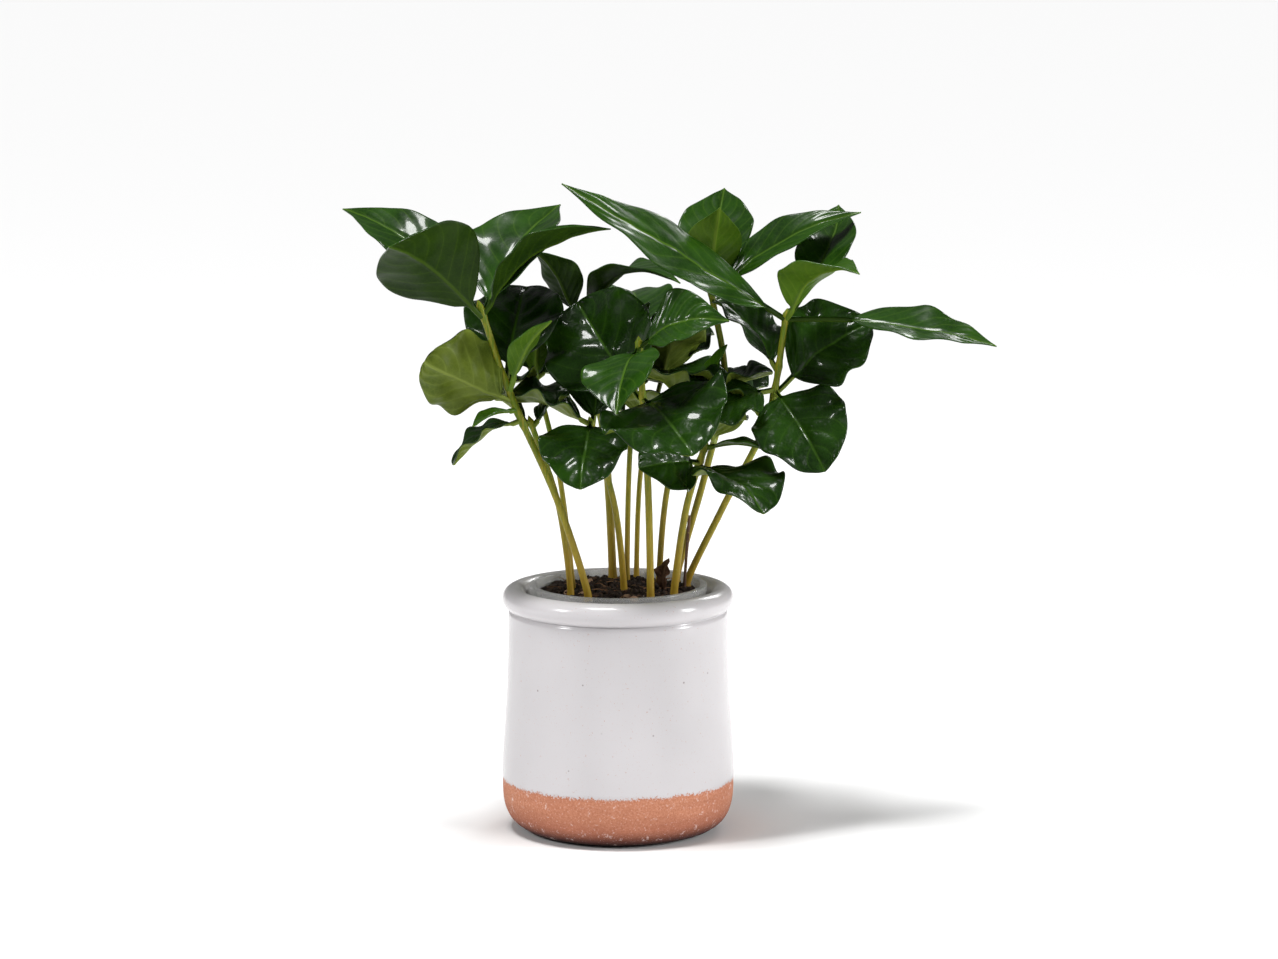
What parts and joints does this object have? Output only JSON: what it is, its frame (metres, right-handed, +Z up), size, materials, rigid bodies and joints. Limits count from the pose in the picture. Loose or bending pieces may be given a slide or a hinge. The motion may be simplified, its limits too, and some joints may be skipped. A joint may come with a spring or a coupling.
{
  "type": "potted coffee plant",
  "caption": "Coffee seedlings with glossy leaves in a clear nursery pot, standing in a round glazed terracotta pot.",
  "frame": {"origin": "centre of the outer pot's flat base", "axes": "+Z up along the pot's axis, -Y towards the front of the plant, +X to the right seen from the front"},
  "size_m": [0.2167, 0.1289, 0.2219],
  "materials": {
    "glazed_terracotta": "pale grey-white gloss glaze over terracotta, which is left bare below a ragged line near the base",
    "clear_plastic": "clear thin plastic, slightly grey",
    "soil": "dark peat with bark chips and perlite",
    "stem": "olive green to tan, half-woody",
    "seed_leaf": "dark green, waxy gloss, wavy edge",
    "true_leaf": "dark green, waxy gloss, pale midrib",
    "young_leaf": "bright yellow-green, soft gloss",
    "dead_stem": "dry brown",
    "dead_leaf": "dry brown, curled"
  },
  "bodies": {
    "root": {"outer_pot": "glazed_terracotta", "nursery_pot": "clear_plastic", "potting_soil": "soil", "far_left_stem": "stem", "far_left_seed_leaf_left": "seed_leaf", "far_left_seed_leaf_back": "seed_leaf", "far_left_low_leaf_left": "seed_leaf", "far_left_young_leaf_right": "young_leaf", "far_left_young_leaf_left": "young_leaf", "far_left_top_leaf_front": "true_leaf", "far_left_top_leaf_left": "true_leaf", "far_left_top_leaf_back": "true_leaf", "far_left_top_leaf_right": "true_leaf", "left_front_stem": "stem", "left_front_seed_leaf_right": "seed_leaf", "left_front_seed_leaf_back": "seed_leaf", "left_rear_stem": "stem", "left_rear_seed_leaf_back": "seed_leaf", "left_rear_seed_leaf_right": "seed_leaf", "rear_left_stem": "stem", "rear_left_top_leaf_left": "true_leaf", "rear_left_top_leaf_right": "true_leaf", "rear_left_seed_leaf_back": "seed_leaf", "mid_left_stem": "stem", "mid_left_seed_leaf_front": "seed_leaf", "mid_left_seed_leaf_back": "seed_leaf", "rear_mid_stem": "stem", "rear_mid_top_leaf_front": "true_leaf", "rear_mid_top_leaf_right": "true_leaf", "rear_mid_top_leaf_back": "true_leaf", "rear_right_stem": "stem", "rear_right_seed_leaf_front": "seed_leaf", "centre_front_stem": "stem", "centre_front_seed_leaf_front": "seed_leaf", "centre_front_seed_leaf_back": "seed_leaf", "centre_front_top_leaf_right": "true_leaf", "centre_front_top_leaf_left": "true_leaf", "centre_stem": "stem", "centre_young_leaf_up": "young_leaf", "right_front_stem": "stem", "right_front_seed_leaf_left": "seed_leaf", "right_front_seed_leaf_right": "seed_leaf", "right_front_young_leaf_left": "young_leaf", "right_front_young_leaf_right": "young_leaf", "right_rear_stem": "stem", "right_rear_top_leaf_right": "true_leaf", "right_rear_top_leaf_back": "true_leaf", "right_rear_top_leaf_front": "true_leaf", "right_rear_seed_leaf_back": "seed_leaf", "far_right_stem": "stem", "far_right_seed_leaf_front": "seed_leaf", "far_right_seed_leaf_left": "seed_leaf", "far_right_low_leaf_right": "seed_leaf", "far_right_low_leaf_back": "seed_leaf", "far_right_top_leaf_right": "true_leaf", "far_right_top_leaf_left": "true_leaf", "far_right_top_leaf_front": "true_leaf", "far_right_top_leaf_back": "true_leaf", "withered_stem": "dead_stem", "dried_leaf": "dead_leaf"}
  },
  "joints": []
}
